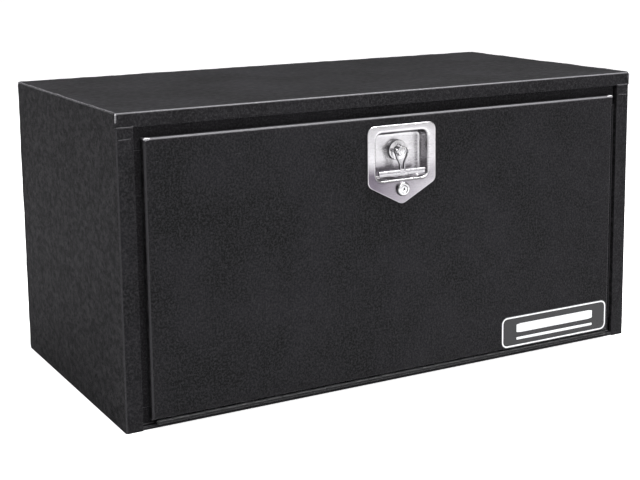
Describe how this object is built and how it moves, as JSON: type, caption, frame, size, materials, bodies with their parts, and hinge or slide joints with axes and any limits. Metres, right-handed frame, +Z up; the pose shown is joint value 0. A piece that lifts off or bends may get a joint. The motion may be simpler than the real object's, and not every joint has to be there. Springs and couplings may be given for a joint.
{
  "type": "truck tool box",
  "caption": "Black sheet-steel tool box with a drop-down front door, full-length hinge, folding T-handle latch in a stainless pan, and a key lock.",
  "frame": {"origin": "centre of the whole object's footprint, on the base", "axes": "+X along the box to the right as seen from the door side, -Y towards the door side, +Z up"},
  "size_m": [0.9144, 0.4698, 0.4572],
  "materials": {
    "powder_coat": "fine-textured black powder coat, semi-matt",
    "coated_fittings": "black powder coat over small steel fittings",
    "stainless": "bright brushed stainless steel",
    "polished_steel": "polished plated lock head",
    "zinc_steel": "zinc-plated steel",
    "brass": "plain machined brass",
    "seal_rubber": "matt black sponge rubber",
    "label": "printed vinyl label, black with a white border"
  },
  "bodies": {
    "root": {"top_panel": "powder_coat", "back_panel": "powder_coat", "floor_panel": "powder_coat", "left_end_panel": "powder_coat", "right_end_panel": "powder_coat", "header_channel": "powder_coat", "sill_channel": "powder_coat", "left_jamb": "powder_coat", "right_jamb": "powder_coat", "door_seal": "seal_rubber", "strike_bracket": "zinc_steel", "strike_screws": "zinc_steel", "hinge_leaf_body": "coated_fittings", "hinge_pin": "stainless", "hinge_rivets_body": "coated_fittings", "left_stay_anchor": "coated_fittings", "right_stay_anchor": "coated_fittings"},
    "door": {"door_skin": "powder_coat", "upper_left_brace": "powder_coat", "upper_right_brace": "powder_coat", "lower_brace": "powder_coat", "hinge_leaf_door": "coated_fittings", "hinge_rivets_door": "coated_fittings", "left_door_anchor": "coated_fittings", "right_door_anchor": "coated_fittings", "label_plate": "label", "latch_gasket": "seal_rubber", "latch_pan": "stainless", "latch_studs": "stainless", "latch_nuts": "zinc_steel", "shaft_bushing": "brass", "lock_housing": "polished_steel", "lock_nut": "zinc_steel"},
    "hub": {"latch_hub": "stainless", "handle_pin": "stainless", "pawl": "zinc_steel", "pawl_washer": "zinc_steel", "pawl_nut": "zinc_steel"},
    "handle": {"t_handle": "stainless"},
    "lock": {"lock_plug": "polished_steel", "lock_cam": "zinc_steel", "lock_cam_screw": "zinc_steel"}
  },
  "joints": [
    {"name": "door_drop", "type": "hinge", "parent": "root", "child": "door", "pos_m": [0, -0.22605, 0.01], "axis": [1, 0, 0], "range_deg": [0, 90]},
    {"name": "hub_turn", "type": "hinge", "parent": "door", "child": "hub", "pos_m": [0, -0.22235, 0.3645], "axis": [0, 1, 0], "range_deg": [0, 90]},
    {"name": "handle_fold", "type": "hinge", "parent": "hub", "child": "handle", "pos_m": [0, -0.22595, 0.3645], "axis": [-1, 0, 0], "range_deg": [0, 90]},
    {"name": "lock_turn", "type": "hinge", "parent": "door", "child": "lock", "pos_m": [0, -0.22235, 0.306], "axis": [0, 1, 0], "range_deg": [0, 90]}
  ],
  "couplings": [
    {"joint": "hub_turn", "follows": "handle_fold", "ratio": 1}
  ]
}
